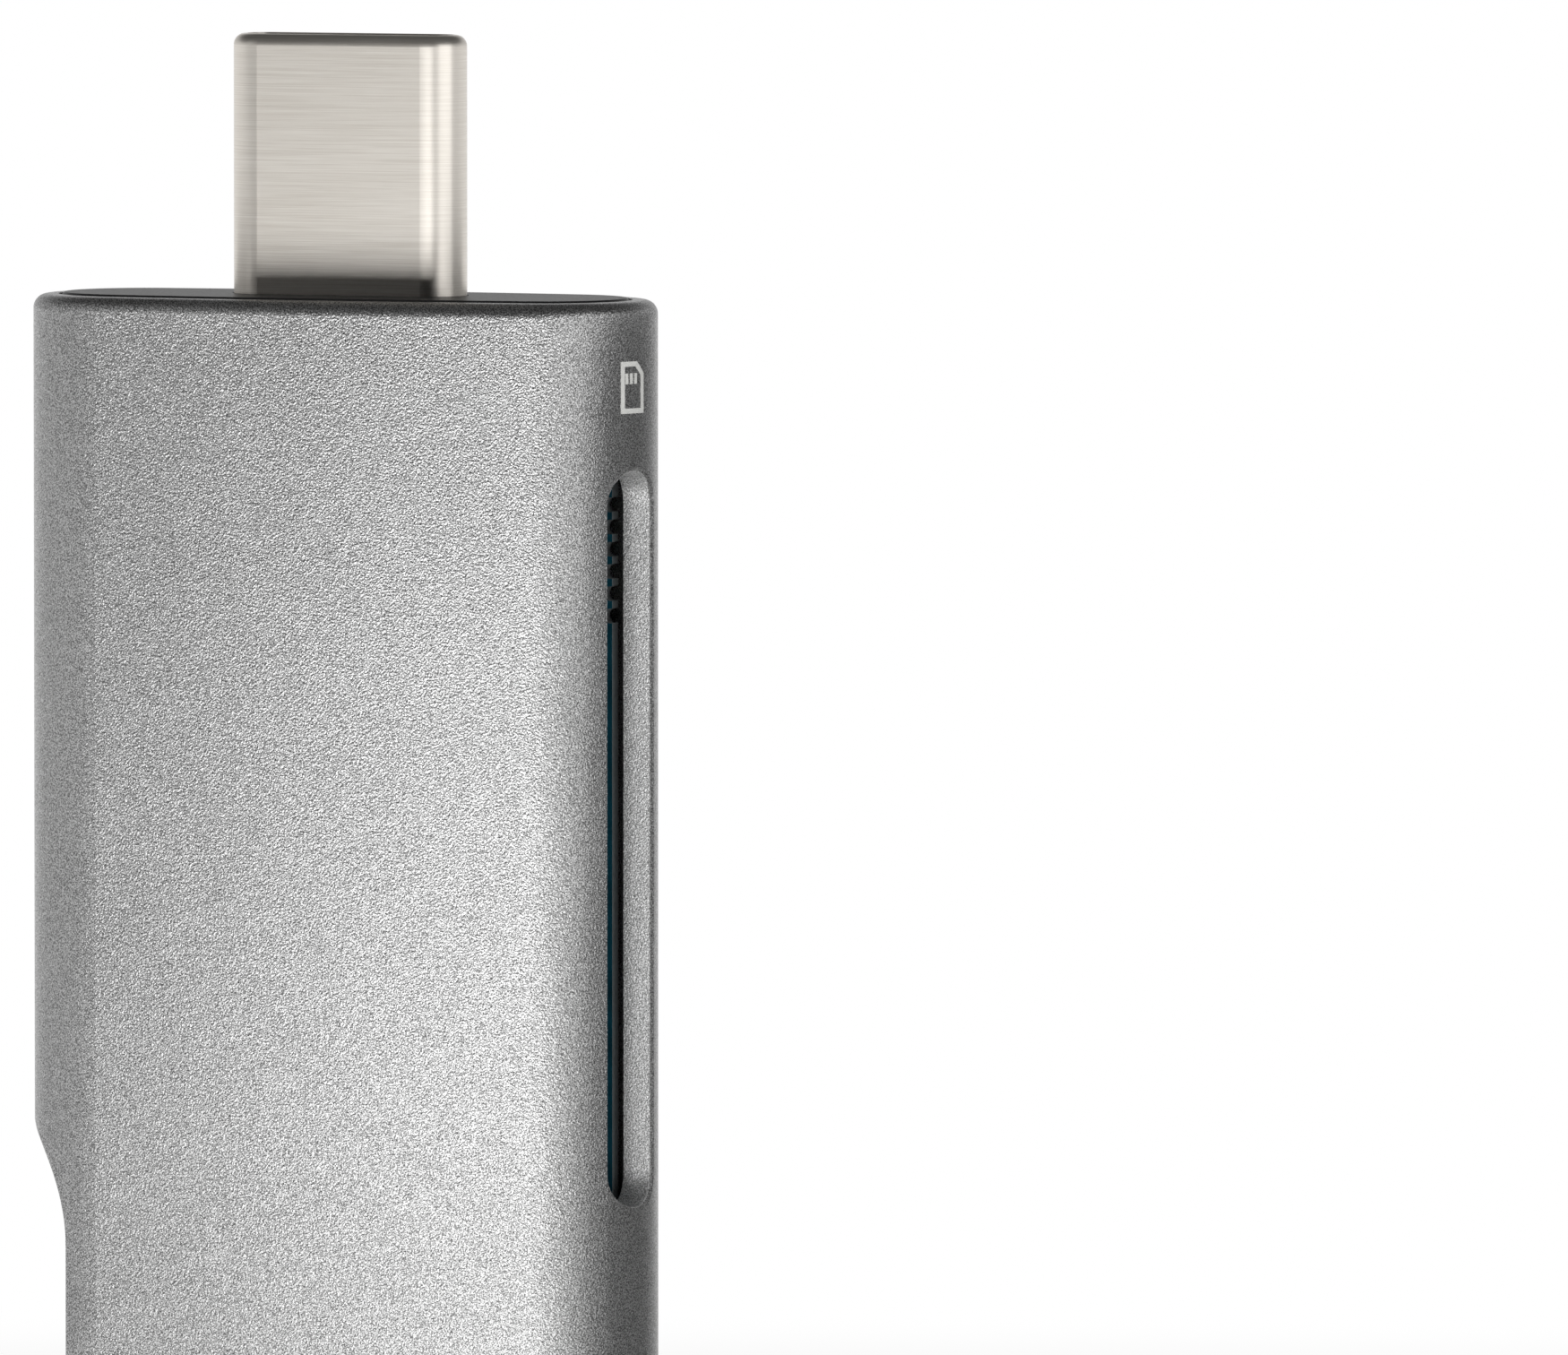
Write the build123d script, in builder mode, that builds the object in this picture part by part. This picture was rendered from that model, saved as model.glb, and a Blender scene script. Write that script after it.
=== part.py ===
from build123d import *
import os
from math import hypot, sqrt

# USB memory card reader, in millimetres.
# +Z runs up the stick to the plug, +X is the side of the large card slot and -Y is the front.
# The origin is the centre of the lower end, on which the reader stands.

# Housing: an extruded tube of oval section with slightly crowned faces, cut to length
body_width = 22.0
body_length = 56.0
wall = 1.05
face_crown = 0.4
cavity_corner = 0.5
socket_room = 0.25
rim_radius = 0.48
base_chamfer = 0.3

# Finger scoop in the left edge, with the small card slot in its floor
scoop_depth = 2.1
scoop_floor_wall = 1.0
scoop_floor_length = 13.0
scoop_rise = 10.8
scoop_radius = 5.5
scoop_edge = 0.25

# End plates, each let into a seat in the rim
seat_ledge = 0.2
plate_thickness = 1.3
plate_proud = 0.06
plate_edge = 0.12
plate_gap = 0.08
finger_length = 2.6
finger_width = 1.8
finger_thickness = 0.8
finger_spacing = 12.0

# Circuit board
board_thickness = 0.6
board_offset = 0.55
board_edge_gap = 0.45
board_left_gap = 0.3
board_drop = 1.4
board_rise = 0.2
board_corner = 0.5
board_slip = 0.05
bite_count = 6
bite_diameter = 0.5
bite_pitch = 0.75
bite_inset = 0.05
first_bite_drop = 6.9
peg_diameter = 0.8
peg_length = 0.25
peg_slip = 0.05

# Plug
plug_width = 8.25
plug_height = 2.4
plug_reach = 8.85
plug_slip = 0.05
shell_wall = 0.25
shell_lip = 0.3
mouth_inset = 0.45
tip_round = 0.38
insulator_gap = 0.03
insulator_setback = 0.4
tongue_width = 6.75
tongue_space = 1.0
tongue_depth = 6.65
tongue_corner = 0.2
plug_contact_count = 12
plug_contact_pitch = 0.5
plug_contact_width = 0.25
plug_contact_sheet = 0.12
plug_contact_tail = 1.6
plug_contact_bend = 2.6
plug_touch_depth = 2.2
plug_touch_gap = 0.45
plug_contact_end = 0.5
channel_depth = 0.2
channel_slip = 0.025
channel_end = 1.2
jog_start = 0.1
jog_end = 0.5
latch_sheet = 0.15
latch_span = 7.4
latch_arm = 0.28
latch_base = 3.0
latch_hook = 0.35
latch_hook_length = 0.9
latch_end = 1.3
latch_leg = 0.6
latch_leg_length = 1.2
spring_span = 5.8
spring_width = 0.7
spring_sheet = 0.12
spring_spacing = 3.0
spring_bow = 1.4
spring_reach = 0.5
spring_setback = 0.65

# Large card slot and socket, on the front of the board
large_slot_length = 24.8
large_slot_height = 2.3
large_slot_drop = 5.7
slot_edge = 0.13
large_card_width = 24.0
large_card_thickness = 2.1
large_card_lift = 0.23
large_card_play = 0.08
large_rail = 0.9
large_bar = 2.2
large_contact_tail = 0.95
large_tail_margin = 0.3
large_mouth_gap = 0.35
large_cover_sheet = 0.2
large_tongue_length = 6.0
large_tongue_width = 1.6
large_tongue_gap = 0.4
large_tongue_spacing = 15.0
large_tongue_inset = 1.2
large_contact_count = 9
large_contact_pitch = 2.5
large_contact_width = 0.8
large_contact_sheet = 0.15
large_contact_reach = 4.4
large_contact_lift = 0.75
large_contact_tip = 0.7
large_leaf_length = 5.0
large_leaf_sheet = 0.15
large_leaf_height = 0.9
large_leaf_bow = 0.45
large_leaf_inset = 1.5

# Small card slot and socket, on the back of the board
small_slot_length = 12.2
small_slot_height = 1.4
small_card_width = 11.0
small_card_length = 15.0
small_card_thickness = 1.0
small_card_lift = 0.4
small_card_play = 0.1
small_card_grip = 1.5
small_rail = 0.8
small_bar = 1.8
small_contact_tail = 0.8
small_cover_sheet = 0.15
small_window_length = 5.0
small_window_width = 4.0
small_window_inset = 3.0
small_contact_count = 8
small_contact_pitch = 1.1
small_contact_width = 0.5
small_contact_sheet = 0.12
small_contact_reach = 3.2
small_contact_lift = 0.7
small_contact_tip = 0.5
small_leaf_length = 3.0
small_leaf_sheet = 0.12
small_leaf_height = 0.6
small_leaf_bow = 0.35
small_leaf_inset = 0.8
contact_slip = 0.04

# Chips and small parts, on the back of the board
chip_width = 4.4
chip_length = 9.7
chip_height = 1.0
chip_lift = 0.1
lead_count = 14
lead_pitch = 0.65
lead_width = 0.22
lead_sheet = 0.13
lead_span = 6.4
lead_foot = 0.6
part_spacing = 1.0
regulator_width = 1.6
regulator_length = 2.9
regulator_height = 1.0
regulator_lead_count = 3
regulator_lead_pitch = 0.95
regulator_lead_width = 0.4
regulator_lead_span = 2.8
regulator_lead_foot = 0.4
crystal_width = 3.2
crystal_length = 2.5
crystal_height = 0.5
crystal_lid_inset = 0.2
crystal_lid_height = 0.25
chip_part_length = 1.6
chip_part_width = 0.8
chip_part_pitch = 1.5
chip_part_count = 4
capacitor_height = 0.8
resistor_height = 0.45

# Levels across the thickness, from the board outwards
board_front = board_offset - board_thickness / 2
board_back = board_offset + board_thickness / 2
large_card_y = board_front - large_card_lift - large_card_thickness / 2
large_frame_front = large_card_y - large_card_thickness / 2 - large_card_play
large_cover_front = large_frame_front - large_cover_sheet
small_card_y = board_back + small_card_lift + small_card_thickness / 2
small_frame_back = small_card_y + small_card_thickness / 2 + small_card_play
small_cover_back = small_frame_back + small_cover_sheet

# Housing section
inner_radius = max(-large_cover_front, small_cover_back) + socket_room
outer_radius = inner_radius + wall
body_thickness = 2 * (outer_radius + face_crown)
half_width = body_width / 2
round_center = half_width - outer_radius
scoop_floor = -half_width + scoop_depth
cavity_left = scoop_floor + scoop_floor_wall
cavity_right = half_width - wall
seat_width = body_width - 2 * (wall - seat_ledge)
seat_thickness = body_thickness - 2 * (wall - seat_ledge)
plate_width = seat_width - 2 * plate_gap
plate_depth = seat_thickness - 2 * plate_gap

# Heights up the stick
plate_under = body_length + plate_proud - plate_thickness
board_top = plate_under - board_drop
board_base = plate_thickness + board_rise
plug_tip = body_length + plug_reach
scoop_center = scoop_rise + scoop_floor_length / 2
large_slot_center = body_length - large_slot_drop - large_slot_length / 2
insulator_top = plug_tip - insulator_setback
tongue_floor = plug_tip - tongue_depth

# Places across the board
board_left = cavity_left + board_left_gap
board_right = cavity_right - board_edge_gap
large_bar_left = board_left + large_tail_margin + large_contact_tail
large_card_stop = large_bar_left + large_bar
large_mouth = round_center + sqrt(inner_radius**2 - large_cover_front**2) - large_mouth_gap
large_opening = large_card_width + 2 * large_card_play
large_frame_length = large_opening + 2 * large_rail
small_card_stop = scoop_floor - small_card_grip + small_card_length
small_bar_right = small_card_stop + small_bar
small_opening = small_card_width + 2 * small_card_play
small_frame_length = small_opening + 2 * small_rail
small_frame_top = scoop_center + small_frame_length / 2 + small_cover_sheet
chip_center = (small_frame_top + board_top - plug_contact_tail) / 2
upper_row = chip_center + chip_length / 2 + part_spacing
lower_row = chip_center - chip_length / 2 - part_spacing
side_column = lead_span / 2 + part_spacing


def front_facing(y):
    """Plane at depth y whose sketch axes are X and Z and whose normal looks to the front."""
    return Plane.XZ.offset(-y)


def spread(count, pitch, center):
    """Centres of a row of like things at one pitch."""
    return [center + (i - (count - 1) / 2) * pitch for i in range(count)]


def bent_strip(route, sheet):
    """Side view of a strip of sheet bent along a route of straight runs."""
    with BuildSketch() as strip:
        with BuildLine():
            Polyline(*route)
        trace(line_width=sheet)
    return strip.sketch


def board_fingers():
    """Pairs of fingers that grip the board's end from the front and the back."""
    front = board_front - board_slip
    back = board_back + board_slip
    with BuildSketch() as fingers:
        with GridLocations(finger_spacing, 0, 2, 1):
            with Locations((0, front)):
                Rectangle(finger_width, finger_thickness, align=(Align.CENTER, Align.MAX))
            with Locations((0, back)):
                Rectangle(finger_width, finger_thickness, align=(Align.CENTER, Align.MIN))
    return fingers.sketch


def oval(width, thickness):
    """Outline of round edges and slightly crowned faces, given its width and its thickness in the middle."""
    edge = thickness / 2 - face_crown
    center = width / 2 - edge
    face = (center**2 + 2 * edge * face_crown + face_crown**2) / (2 * face_crown)
    lean = center / (face - edge)
    x = center + edge * lean
    y = edge * sqrt(1 - lean**2)
    with BuildSketch() as outline:
        with BuildLine():
            ThreePointArc((x, -y), (width / 2, 0), (x, y))
            ThreePointArc((x, y), (0, thickness / 2), (-x, y))
            ThreePointArc((-x, y), (-width / 2, 0), (-x, -y))
            ThreePointArc((-x, -y), (0, -thickness / 2), (x, -y))
        make_face()
    return outline.sketch


def on_outside(edge):
    """True for an edge that lies on the housing's outer surface."""
    middle = edge @ 0.5
    from_axis = hypot(max(abs(middle.X) - round_center, 0), middle.Y)
    return from_axis > outer_radius - wall / 2


# Housing
with BuildPart() as housing:
    with BuildSketch():
        add(oval(body_width, body_thickness))
    extrude(amount=body_length)
    fillet(housing.faces().sort_by(Axis.Z)[-1].edges(), rim_radius)
    chamfer(housing.faces().sort_by(Axis.Z)[0].edges(), base_chamfer)
    with BuildSketch():
        SlotOverall(body_width - 2 * wall, 2 * inner_radius)
        with Locations((cavity_left, 0)):
            Rectangle(body_width, body_thickness, align=(Align.MAX, Align.CENTER), mode=Mode.SUBTRACT)
        fillet(vertices().group_by(Axis.X)[0], cavity_corner)
    extrude(amount=body_length, mode=Mode.SUBTRACT)
    with BuildSketch(Plane.XY.offset(body_length)):
        add(oval(seat_width, seat_thickness))
    extrude(amount=plate_proud - plate_thickness, mode=Mode.SUBTRACT)
    with BuildSketch():
        add(oval(seat_width, seat_thickness))
    extrude(amount=plate_thickness, mode=Mode.SUBTRACT)
    with BuildSketch(Plane.YZ.offset(round_center)):
        with Locations((large_card_y, large_slot_center)):
            SlotOverall(large_slot_length, large_slot_height, rotation=90)
    extrude(amount=half_width, mode=Mode.SUBTRACT)
    chamfer(housing.edges(Select.LAST).filter_by(on_outside), slot_edge)
    with BuildSketch(Plane.XZ):
        with Locations((scoop_floor, scoop_center)):
            RectangleRounded(
                body_width,
                scoop_floor_length + 2 * scoop_radius,
                scoop_radius,
                align=(Align.MAX, Align.CENTER),
            )
    extrude(amount=body_thickness, both=True, mode=Mode.SUBTRACT)
    fillet(housing.edges(Select.LAST).filter_by(on_outside), scoop_edge)
    with BuildSketch(Plane.YZ.offset(cavity_left + cavity_corner)):
        with Locations((small_card_y, scoop_center)):
            SlotOverall(small_slot_length, small_slot_height, rotation=90)
    extrude(amount=-body_width, mode=Mode.SUBTRACT)

# End plates
with BuildPart() as plug_end_plate:
    with BuildSketch(Plane.XY.offset(plate_under)):
        add(oval(plate_width, plate_depth))
    extrude(amount=plate_thickness)
    chamfer(plug_end_plate.faces().sort_by(Axis.Z)[-1].edges(), plate_edge)
    with BuildSketch(Plane.XY.offset(plate_under)):
        add(board_fingers())
    extrude(amount=-finger_length)
    with BuildSketch(Plane.XY.offset(plate_under)):
        with Locations((0, board_offset)):
            SlotOverall(plug_width + 2 * plug_slip, plug_height + 2 * plug_slip)
    extrude(amount=plate_thickness, mode=Mode.SUBTRACT)

with BuildPart() as base_end_plate:
    with BuildSketch():
        add(oval(plate_width, plate_depth))
    extrude(amount=plate_thickness)
    chamfer(base_end_plate.faces().sort_by(Axis.Z)[0].edges(), plate_edge)
    with BuildSketch(Plane.XY.offset(plate_thickness)):
        add(board_fingers())
    extrude(amount=finger_length)

# Plug
plug_middle = (0, board_offset)
beam_level = tongue_space / 2 + channel_depth / 2
tail_level = board_thickness / 2 + plug_contact_sheet / 2
touch_level = plug_touch_gap / 2 + plug_contact_sheet / 2
insulator_width = plug_width - 2 * (shell_wall + insulator_gap)
insulator_height = plug_height - 2 * (shell_wall + insulator_gap)
spring_level = insulator_height / 2 - spring_sheet / 2 - channel_slip
spring_height = insulator_top - spring_setback
latch_top = plug_tip - latch_end
leg_center = latch_span / 2 - latch_leg / 2

with BuildPart() as plug_shell:
    with BuildSketch(Plane.XY.offset(board_top)):
        with Locations(plug_middle):
            SlotOverall(plug_width, plug_height)
    extrude(amount=plug_tip - board_top)
    fillet(plug_shell.faces().sort_by(Axis.Z)[-1].edges(), tip_round)
    with BuildSketch(Plane.XY.offset(board_top)):
        with Locations(plug_middle):
            SlotOverall(plug_width - 2 * shell_wall, plug_height - 2 * shell_wall)
    extrude(amount=plug_tip - shell_lip - board_top, mode=Mode.SUBTRACT)
    with BuildSketch(Plane.XY.offset(plug_tip)):
        with Locations(plug_middle):
            SlotOverall(plug_width - 2 * mouth_inset, plug_height - 2 * mouth_inset)
    extrude(amount=-shell_lip, mode=Mode.SUBTRACT)

with BuildPart() as plug_insulator:
    with BuildSketch(Plane.XY.offset(board_top)):
        with Locations(plug_middle):
            SlotOverall(insulator_width, insulator_height)
    extrude(amount=insulator_top - board_top)
    with BuildSketch(Plane.XY.offset(insulator_top)):
        with Locations(plug_middle):
            RectangleRounded(tongue_width, tongue_space, tongue_corner)
    extrude(amount=tongue_floor - insulator_top, mode=Mode.SUBTRACT)
    with BuildSketch(Plane.XY.offset(board_top)):
        with Locations((0, board_offset - beam_level), (0, board_offset + beam_level)):
            with GridLocations(plug_contact_pitch, 0, plug_contact_count, 1):
                Rectangle(plug_contact_width + 2 * channel_slip, channel_depth)
    extrude(amount=insulator_top - channel_end - board_top, mode=Mode.SUBTRACT)
    with BuildSketch(Plane.XY.offset(board_top)):
        with Locations(plug_middle):
            Rectangle(latch_span + 2 * channel_slip, latch_sheet + 2 * channel_slip)
    extrude(amount=latch_top + channel_slip - board_top, mode=Mode.SUBTRACT)
    with BuildSketch(Plane.XY.offset(spring_height)):
        with Locations(plug_middle):
            Rectangle(spring_span + 2 * channel_slip, plug_height)
            Rectangle(
                plug_width,
                2 * (spring_level - spring_sheet / 2 - channel_slip),
                mode=Mode.SUBTRACT,
            )
            with GridLocations(spring_spacing, 0, 2, 1):
                Rectangle(spring_bow + 2 * spring_sheet, plug_height)
    extrude(amount=spring_width / 2 + channel_slip, both=True, mode=Mode.SUBTRACT)

back_contact_route = [
    (board_offset + tail_level, board_top - plug_contact_tail),
    (board_offset + tail_level, board_top - jog_end),
    (board_offset + beam_level, board_top - jog_start),
    (board_offset + beam_level, plug_tip - plug_touch_depth - plug_contact_bend),
    (board_offset + touch_level, plug_tip - plug_touch_depth),
    (board_offset + beam_level, plug_tip - plug_touch_depth + plug_contact_end),
]
front_contact_route = [(2 * board_offset - y, z) for y, z in back_contact_route]
plug_contact_planes = [
    Plane.YZ.offset(x) for x in spread(plug_contact_count, plug_contact_pitch, 0)
]

with BuildPart() as plug_contacts_back:
    with BuildSketch(*plug_contact_planes):
        add(bent_strip(back_contact_route, plug_contact_sheet))
    extrude(amount=plug_contact_width / 2, both=True)

with BuildPart() as plug_contacts_front:
    with BuildSketch(*plug_contact_planes):
        add(bent_strip(front_contact_route, plug_contact_sheet))
    extrude(amount=plug_contact_width / 2, both=True)

with BuildPart() as plug_latch_plate:
    with BuildSketch(front_facing(board_offset)):
        with Locations((0, board_top)):
            Rectangle(latch_span, latch_base, align=(Align.CENTER, Align.MIN))
        with Locations((-leg_center, board_top), (leg_center, board_top)):
            Rectangle(latch_leg, latch_leg_length, align=(Align.CENTER, Align.MAX))
        with BuildLine():
            outer = latch_span / 2
            inner = outer - latch_arm
            hook_base = latch_top - latch_hook_length
            Polyline(
                (outer, board_top),
                (outer, latch_top),
                (inner, latch_top),
                (inner - latch_hook, (latch_top + hook_base) / 2),
                (inner, hook_base),
                (inner, board_top),
                close=True,
            )
        arm = make_face()
        mirror(arm, about=Plane.YZ)
    extrude(amount=latch_sheet / 2, both=True)

half_bow = spring_bow / 2
half_spacing = spring_spacing / 2
half_spring = [
    (half_spacing - half_bow, spring_level),
    (half_spacing, spring_level - spring_reach),
    (half_spacing + half_bow, spring_level),
    (spring_span / 2, spring_level),
]
spring_route = [(-x, y) for x, y in reversed(half_spring)] + half_spring

with BuildPart() as plug_ground_springs:
    with BuildSketch(Plane.XY.offset(spring_height)):
        with Locations(plug_middle):
            add(bent_strip(spring_route, spring_sheet))
            add(bent_strip([(x, -y) for x, y in spring_route], spring_sheet))
    extrude(amount=spring_width / 2, both=True)

# Circuit board
large_peg_height = large_frame_length / 2 - large_rail / 2
large_peg_places = [
    (large_card_stop, large_slot_center - large_peg_height),
    (large_card_stop, large_slot_center + large_peg_height),
]
small_peg_height = small_frame_length / 2 - small_rail / 2
small_peg_places = [
    (small_card_stop, scoop_center - small_peg_height),
    (small_card_stop, scoop_center + small_peg_height),
]
first_bite = body_length - first_bite_drop
bite_places = [
    (board_right - bite_inset, first_bite - i * bite_pitch) for i in range(bite_count)
]

with BuildPart() as circuit_board:
    with BuildSketch(front_facing(board_back)):
        with Locations((board_left, board_base)):
            RectangleRounded(
                board_right - board_left,
                board_top - board_base,
                board_corner,
                align=(Align.MIN, Align.MIN),
            )
        with Locations(*bite_places):
            Circle(bite_diameter / 2, mode=Mode.SUBTRACT)
        with Locations((-leg_center, board_top), (leg_center, board_top)):
            Rectangle(
                latch_leg + 2 * board_slip,
                2 * (latch_leg_length + board_slip),
                mode=Mode.SUBTRACT,
            )
        with Locations(*large_peg_places, *small_peg_places):
            Circle(peg_diameter / 2 + peg_slip, mode=Mode.SUBTRACT)
    extrude(amount=board_thickness)

# Large card socket
large_contact_levels = spread(large_contact_count, large_contact_pitch, large_slot_center)
large_frame_rise = board_front - large_frame_front
large_leaf_center = large_card_stop + large_leaf_inset + large_leaf_length / 2
large_leaf_wall = large_opening / 2 + large_leaf_sheet

with BuildPart() as large_socket_frame:
    with BuildSketch(front_facing(board_front)):
        with Locations((large_bar_left, large_slot_center)):
            Rectangle(large_mouth - large_bar_left, large_frame_length, align=(Align.MIN, Align.CENTER))
        with Locations((large_card_stop, large_slot_center)):
            Rectangle(
                body_width, large_opening, align=(Align.MIN, Align.CENTER), mode=Mode.SUBTRACT
            )
        with Locations((large_leaf_center, large_slot_center)):
            Rectangle(large_leaf_length, 2 * large_leaf_wall, mode=Mode.SUBTRACT)
    extrude(amount=large_frame_rise)
    with BuildSketch(*[Plane.XY.offset(z) for z in large_contact_levels]):
        with Locations((large_bar_left, board_front)):
            Rectangle(
                large_bar,
                large_contact_sheet + contact_slip,
                align=(Align.MIN, Align.MAX),
            )
    extrude(amount=large_contact_width / 2 + contact_slip, both=True, mode=Mode.SUBTRACT)
    with BuildSketch(front_facing(board_front)):
        with Locations(*large_peg_places):
            Circle(peg_diameter / 2)
    extrude(amount=-peg_length)

with BuildPart() as large_socket_cover:
    with BuildSketch(front_facing(large_frame_front)):
        with Locations((large_bar_left, large_slot_center)):
            Rectangle(
                large_mouth - large_bar_left,
                large_frame_length + 2 * large_cover_sheet,
                align=(Align.MIN, Align.CENTER),
            )
    extrude(amount=large_cover_sheet)
    with BuildSketch(front_facing(large_frame_front)):
        with Locations((large_bar_left, large_slot_center)):
            Rectangle(
                large_mouth - large_bar_left,
                large_frame_length + 2 * large_cover_sheet,
                align=(Align.MIN, Align.CENTER),
            )
            Rectangle(
                large_mouth - large_bar_left,
                large_frame_length,
                align=(Align.MIN, Align.CENTER),
                mode=Mode.SUBTRACT,
            )
    extrude(amount=-large_frame_rise)
    with BuildSketch(front_facing(large_frame_front)):
        with Locations((large_mouth - large_tongue_inset, large_slot_center)):
            with GridLocations(0, large_tongue_spacing, 1, 2):
                Rectangle(
                    large_tongue_length + large_tongue_gap,
                    large_tongue_width + 2 * large_tongue_gap,
                    align=(Align.MAX, Align.CENTER),
                )
                Rectangle(
                    large_tongue_length,
                    large_tongue_width,
                    align=(Align.MAX, Align.CENTER),
                    mode=Mode.SUBTRACT,
                )
    extrude(amount=large_cover_sheet, mode=Mode.SUBTRACT)

large_contact_base = board_front - large_contact_sheet / 2
large_contact_route = [
    (large_bar_left - large_contact_tail, large_contact_base),
    (large_card_stop, large_contact_base),
    (large_card_stop + large_contact_reach, large_contact_base - large_contact_lift),
    (large_card_stop + large_contact_reach + large_contact_tip, large_contact_base - large_contact_lift / 2),
]

with BuildPart() as large_socket_contacts:
    with BuildSketch(*[Plane.XY.offset(z) for z in large_contact_levels]):
        add(bent_strip(large_contact_route, large_contact_sheet))
    extrude(amount=large_contact_width / 2, both=True)

large_leaf_level = large_opening / 2 + large_leaf_sheet / 2
large_leaf_route = [
    (large_leaf_center - large_leaf_length / 2, large_slot_center + large_leaf_level),
    (large_leaf_center, large_slot_center + large_leaf_level),
    (large_leaf_center + large_leaf_length / 4, large_slot_center + large_leaf_level - large_leaf_bow),
    (large_leaf_center + large_leaf_length / 2, large_slot_center + large_leaf_level - large_leaf_bow / 2),
]

with BuildPart() as large_socket_leaves:
    with BuildSketch(front_facing(large_card_y)):
        add(bent_strip(large_leaf_route, large_leaf_sheet))
        add(bent_strip([(x, 2 * large_slot_center - z) for x, z in large_leaf_route], large_leaf_sheet))
    extrude(amount=large_leaf_height / 2, both=True)

# Small card socket
small_contact_levels = spread(small_contact_count, small_contact_pitch, scoop_center)
small_frame_rise = small_frame_back - board_back
small_leaf_center = small_card_stop - small_leaf_inset - small_leaf_length / 2
small_leaf_wall = small_opening / 2 + small_leaf_sheet

with BuildPart() as small_socket_frame:
    with BuildSketch(front_facing(board_back)):
        with Locations((board_left, scoop_center)):
            Rectangle(
                small_bar_right - board_left, small_frame_length, align=(Align.MIN, Align.CENTER)
            )
        with Locations((small_card_stop, scoop_center)):
            Rectangle(
                body_width, small_opening, align=(Align.MAX, Align.CENTER), mode=Mode.SUBTRACT
            )
        with Locations((small_leaf_center, scoop_center)):
            Rectangle(
                small_leaf_length,
                small_leaf_wall,
                align=(Align.CENTER, Align.MIN),
                mode=Mode.SUBTRACT,
            )
    extrude(amount=-small_frame_rise)
    with BuildSketch(*[Plane.XY.offset(z) for z in small_contact_levels]):
        with Locations((small_bar_right, board_back)):
            Rectangle(
                small_bar,
                small_contact_sheet + contact_slip,
                align=(Align.MAX, Align.MIN),
            )
    extrude(amount=small_contact_width / 2 + contact_slip, both=True, mode=Mode.SUBTRACT)
    with BuildSketch(front_facing(board_back)):
        with Locations(*small_peg_places):
            Circle(peg_diameter / 2)
    extrude(amount=peg_length)

with BuildPart() as small_socket_cover:
    with BuildSketch(front_facing(small_frame_back)):
        with Locations((board_left, scoop_center)):
            Rectangle(
                small_bar_right - board_left,
                small_frame_length + 2 * small_cover_sheet,
                align=(Align.MIN, Align.CENTER),
            )
        with Locations((board_left + small_window_inset, scoop_center)):
            Rectangle(
                small_window_length,
                small_window_width,
                align=(Align.MIN, Align.CENTER),
                mode=Mode.SUBTRACT,
            )
    extrude(amount=-small_cover_sheet)
    with BuildSketch(front_facing(small_frame_back)):
        with Locations((board_left, scoop_center)):
            Rectangle(
                small_bar_right - board_left,
                small_frame_length + 2 * small_cover_sheet,
                align=(Align.MIN, Align.CENTER),
            )
            Rectangle(
                small_bar_right - board_left,
                small_frame_length,
                align=(Align.MIN, Align.CENTER),
                mode=Mode.SUBTRACT,
            )
    extrude(amount=small_frame_rise)

small_contact_base = board_back + small_contact_sheet / 2
small_contact_route = [
    (small_bar_right + small_contact_tail, small_contact_base),
    (small_card_stop, small_contact_base),
    (small_card_stop - small_contact_reach, small_contact_base + small_contact_lift),
    (
        small_card_stop - small_contact_reach - small_contact_tip,
        small_contact_base + small_contact_lift / 2,
    ),
]

with BuildPart() as small_socket_contacts:
    with BuildSketch(*[Plane.XY.offset(z) for z in small_contact_levels]):
        add(bent_strip(small_contact_route, small_contact_sheet))
    extrude(amount=small_contact_width / 2, both=True)

small_leaf_level = scoop_center + small_opening / 2 + small_leaf_sheet / 2
small_leaf_route = [
    (small_leaf_center + small_leaf_length / 2, small_leaf_level),
    (small_leaf_center, small_leaf_level),
    (small_leaf_center - small_leaf_length / 4, small_leaf_level - small_leaf_bow),
    (small_leaf_center - small_leaf_length / 2, small_leaf_level - small_leaf_bow / 2),
]

with BuildPart() as small_socket_leaf:
    with BuildSketch(front_facing(small_card_y)):
        add(bent_strip(small_leaf_route, small_leaf_sheet))
    extrude(amount=small_leaf_height / 2, both=True)


def gull_wing(body_half, span, foot, mid_height):
    """Route of a lead from a chip's side, down to the board and out along it."""
    knee = span / 2 - foot
    return [
        (body_half, board_back + mid_height),
        (knee - lead_sheet, board_back + mid_height),
        (knee, board_back + lead_sheet / 2),
        (span / 2, board_back + lead_sheet / 2),
    ]


# Controller chip
lead_levels = spread(lead_count, lead_pitch, chip_center)
lead_route = gull_wing(chip_width / 2, lead_span, lead_foot, chip_lift + chip_height / 2)

with BuildPart() as controller_chip:
    with BuildSketch(front_facing(board_back + chip_lift)):
        with Locations((0, chip_center)):
            Rectangle(chip_width, chip_length)
    extrude(amount=-chip_height)

with BuildPart() as controller_leads:
    with BuildSketch(*[Plane.XY.offset(z) for z in lead_levels]):
        add(bent_strip(lead_route, lead_sheet))
        add(bent_strip([(-x, y) for x, y in lead_route], lead_sheet))
    extrude(amount=lead_width / 2, both=True)

# Voltage regulator
regulator_center = upper_row + regulator_length / 2
regulator_x = side_column
regulator_route = gull_wing(
    regulator_width / 2,
    regulator_lead_span,
    regulator_lead_foot,
    chip_lift + regulator_height / 2,
)
regulator_levels = spread(regulator_lead_count, regulator_lead_pitch, regulator_center)

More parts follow.
